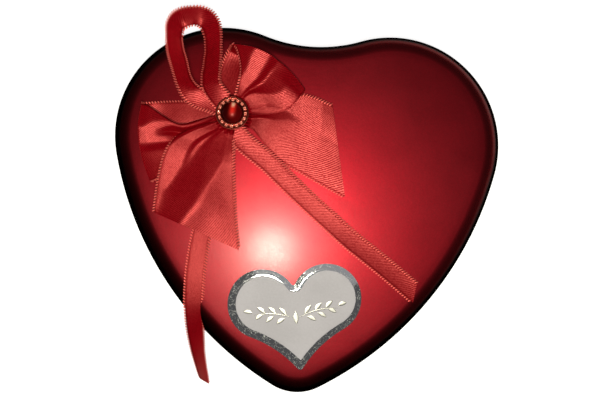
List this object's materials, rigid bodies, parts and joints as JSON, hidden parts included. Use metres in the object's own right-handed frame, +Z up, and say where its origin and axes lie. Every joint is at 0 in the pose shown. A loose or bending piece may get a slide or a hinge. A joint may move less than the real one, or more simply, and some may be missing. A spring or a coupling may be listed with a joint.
{
  "type": "valentine heart box",
  "caption": "Heart-shaped lacquered gift tin with a lift-off lid that carries a pleated satin ribbon bow, a jewelled brooch and a foil heart label; it holds sweets or small gifts.",
  "frame": {"origin": "on the resting plane, on the underside of the pressed bottom panel, at the middle of the heart's width and length", "axes": "+Z up through the lid, +X across the heart towards its right lobe seen from above, +Y from the tip towards the notch"},
  "size_m": [0.15, 0.1402, 0.0873],
  "materials": {
    "lid_lacquer": "satin metallic red, dark at the shoulder",
    "base_lacquer": "satin metallic red",
    "bare_tin": "bright tinplate",
    "satin_ribbon": "satin with looped edges",
    "binding_wire": "thin wire",
    "clear_glue": "cloudy",
    "copper_setting": "rose gold",
    "red_stone": "polished dome",
    "pink_stone": "polished",
    "silver_foil": "crinkled foil",
    "grey_paper": "matt"
  },
  "bodies": {
    "base": {"base_wall": "base_lacquer", "base_floor": "bare_tin"},
    "lid": {"lid_shell": "lid_lacquer", "bow_loop_left": "satin_ribbon", "bow_loop_right": "satin_ribbon", "bow_tail_left": "satin_ribbon", "bow_tail_right": "satin_ribbon", "bow_knot": "satin_ribbon", "narrow_loop": "satin_ribbon", "narrow_tail_left": "satin_ribbon", "narrow_tail_right": "satin_ribbon", "tie_wire": "binding_wire", "glue_pad": "clear_glue", "brooch_setting": "copper_setting", "brooch_stone": "red_stone", "brooch_beads": "pink_stone", "label_foil": "silver_foil", "label_face": "grey_paper"}
  },
  "joints": [
    {"name": "lid_lift", "type": "slide", "parent": "base", "child": "lid", "axis": [0, 0, 1], "range_m": [0, 0.06]}
  ]
}
